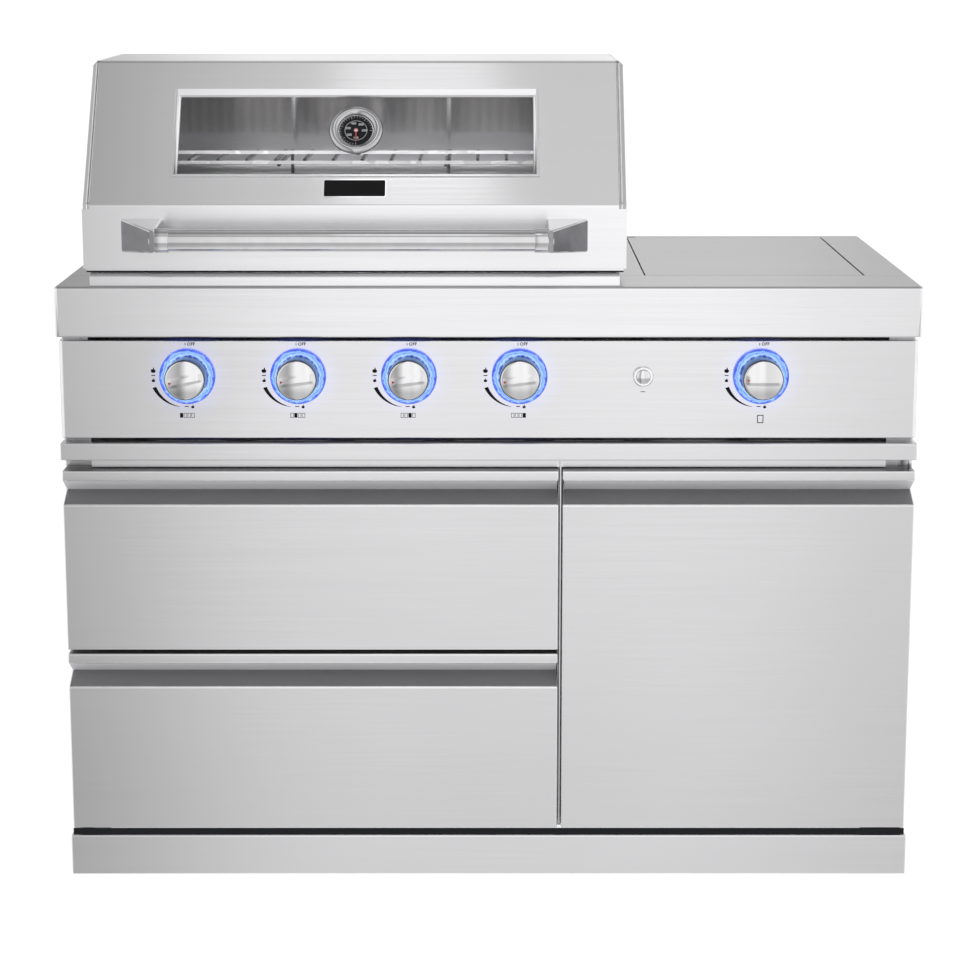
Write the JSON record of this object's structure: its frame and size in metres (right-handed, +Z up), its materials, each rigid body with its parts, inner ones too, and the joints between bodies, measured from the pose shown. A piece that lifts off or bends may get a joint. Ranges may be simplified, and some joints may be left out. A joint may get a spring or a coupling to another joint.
{
  "type": "outdoor kitchen island",
  "caption": "Stainless outdoor kitchen island: gas grill under a windowed hood, a side burner under a flush lid, and a cabinet with drawers and a door.",
  "frame": {"origin": "centre of the bounding box's base, on the floor", "axes": "+X to the right seen from the front, +Y to the back, +Z up; the controls face -Y"},
  "size_m": [1.3, 0.7208, 1.2526],
  "materials": {
    "brushed_sheet": "brushed",
    "satin_sheet": "satin",
    "polished_steel": "polished",
    "dull_steel": "dull",
    "black_iron": "matt enamel",
    "gas_brass": "satin",
    "window_glass": "clear",
    "halo_ring": "lit, translucent",
    "red_marker": "gloss"
  },
  "bodies": {
    "cabinet": {"plinth": "brushed_sheet", "base_panel": "satin_sheet", "side_panel_left": "brushed_sheet", "side_panel_right": "brushed_sheet", "back_panel": "satin_sheet", "centre_divider": "satin_sheet", "front_rail": "brushed_sheet", "worktop": "brushed_sheet", "control_panel": "brushed_sheet", "gas_manifold": "gas_brass", "drawer_lower_runner": "dull_steel", "drawer_upper_runner": "dull_steel", "bezel_1": "halo_ring", "bezel_2": "halo_ring", "bezel_3": "halo_ring", "bezel_4": "halo_ring", "bezel_5": "halo_ring", "switch_body": "polished_steel", "firebox": "satin_sheet", "burner_1": "dull_steel", "burner_2": "dull_steel", "burner_3": "dull_steel", "burner_4": "dull_steel", "flame_tamer_left": "dull_steel", "flame_tamer_right": "dull_steel", "grate_left": "black_iron", "grate_right": "black_iron", "warming_rack": "dull_steel", "side_burner_well": "satin_sheet", "side_burner_head": "black_iron", "side_burner_grate": "black_iron"},
    "hood": {"hood_shell": "brushed_sheet", "hood_end_left": "dull_steel", "hood_end_right": "dull_steel", "window_frame": "polished_steel", "window_glass": "window_glass", "thermometer_case": "polished_steel", "handle_bar": "polished_steel", "handle_bracket_left": "polished_steel", "handle_bracket_right": "polished_steel"},
    "needle": {"thermometer_needle": "red_marker"},
    "side_lid": {"side_burner_lid": "brushed_sheet"},
    "drawer_lower": {"drawer_lower_front": "brushed_sheet", "drawer_lower_box": "satin_sheet"},
    "drawer_upper": {"drawer_upper_front": "brushed_sheet", "drawer_upper_box": "satin_sheet"},
    "door": {"door": "brushed_sheet"},
    "grease_drawer": {"grease_tray": "satin_sheet"},
    "light_button": {"switch_button": "polished_steel"},
    "stem_1": {"valve_stem_1": "dull_steel"},
    "knob_1": {"knob_1": "polished_steel"},
    "stem_2": {"valve_stem_2": "dull_steel"},
    "knob_2": {"knob_2": "polished_steel"},
    "stem_3": {"valve_stem_3": "dull_steel"},
    "knob_3": {"knob_3": "polished_steel"},
    "stem_4": {"valve_stem_4": "dull_steel"},
    "knob_4": {"knob_4": "polished_steel"},
    "stem_5": {"valve_stem_5": "dull_steel"},
    "knob_5": {"knob_5": "polished_steel"}
  },
  "joints": [
    {"name": "hood_hinge", "type": "hinge", "parent": "cabinet", "child": "hood", "pos_m": [-0.2, 0.26538, 1], "axis": [-1, 0, 0], "range_deg": [0, 85]},
    {"name": "thermometer_pivot", "type": "hinge", "parent": "hood", "child": "needle", "pos_m": [-0.2, -0.20428, 1.14914], "axis": [0, 0.8296, -0.5584], "range_deg": [0, 270]},
    {"name": "side_lid_hinge", "type": "hinge", "parent": "cabinet", "child": "side_lid", "pos_m": [0.4105, 0.32638, 0.919], "axis": [-1, 0, 0], "range_deg": [0, 90]},
    {"name": "drawer_lower_slide", "type": "slide", "parent": "cabinet", "child": "drawer_lower", "axis": [0, -1, 0], "range_m": [0, 0.4]},
    {"name": "drawer_upper_slide", "type": "slide", "parent": "cabinet", "child": "drawer_upper", "axis": [0, -1, 0], "range_m": [0, 0.4]},
    {"name": "door_hinge", "type": "hinge", "parent": "cabinet", "child": "door", "pos_m": [0.638, -0.28163, 0.36], "axis": [0, 0, 1], "range_deg": [0, 110]},
    {"name": "grease_tray_slide", "type": "slide", "parent": "cabinet", "child": "grease_drawer", "axis": [0, 1, 0], "range_m": [0, 0.3]},
    {"name": "light_button_press", "type": "slide", "parent": "cabinet", "child": "light_button", "axis": [0, 1, 0], "range_m": [0, 0.002], "stiffness_N_per_m": 600, "springref_m": -0.002},
    {"name": "knob_1_press", "type": "slide", "parent": "cabinet", "child": "stem_1", "axis": [0, 1, 0], "range_m": [0, 0.003], "stiffness_N_per_m": 1500, "springref_m": -0.003},
    {"name": "knob_1_turn", "type": "hinge", "parent": "stem_1", "child": "knob_1", "pos_m": [-0.4543, -0.28963, 0.787], "axis": [0, -1, 0], "range_deg": [-90, 90]},
    {"name": "knob_2_press", "type": "slide", "parent": "cabinet", "child": "stem_2", "axis": [0, 1, 0], "range_m": [0, 0.003], "stiffness_N_per_m": 1500, "springref_m": -0.003},
    {"name": "knob_2_turn", "type": "hinge", "parent": "stem_2", "child": "knob_2", "pos_m": [-0.2873, -0.28963, 0.787], "axis": [0, -1, 0], "range_deg": [-90, 90]},
    {"name": "knob_3_press", "type": "slide", "parent": "cabinet", "child": "stem_3", "axis": [0, 1, 0], "range_m": [0, 0.003], "stiffness_N_per_m": 1500, "springref_m": -0.003},
    {"name": "knob_3_turn", "type": "hinge", "parent": "stem_3", "child": "knob_3", "pos_m": [-0.1203, -0.28963, 0.787], "axis": [0, -1, 0], "range_deg": [-90, 90]},
    {"name": "knob_4_press", "type": "slide", "parent": "cabinet", "child": "stem_4", "axis": [0, 1, 0], "range_m": [0, 0.003], "stiffness_N_per_m": 1500, "springref_m": -0.003},
    {"name": "knob_4_turn", "type": "hinge", "parent": "stem_4", "child": "knob_4", "pos_m": [0.0467, -0.28963, 0.787], "axis": [0, -1, 0], "range_deg": [-90, 90]},
    {"name": "knob_5_press", "type": "slide", "parent": "cabinet", "child": "stem_5", "axis": [0, 1, 0], "range_m": [0, 0.003], "stiffness_N_per_m": 1500, "springref_m": -0.003},
    {"name": "knob_5_turn", "type": "hinge", "parent": "stem_5", "child": "knob_5", "pos_m": [0.4105, -0.28963, 0.787], "axis": [0, -1, 0], "range_deg": [-90, 90]}
  ]
}
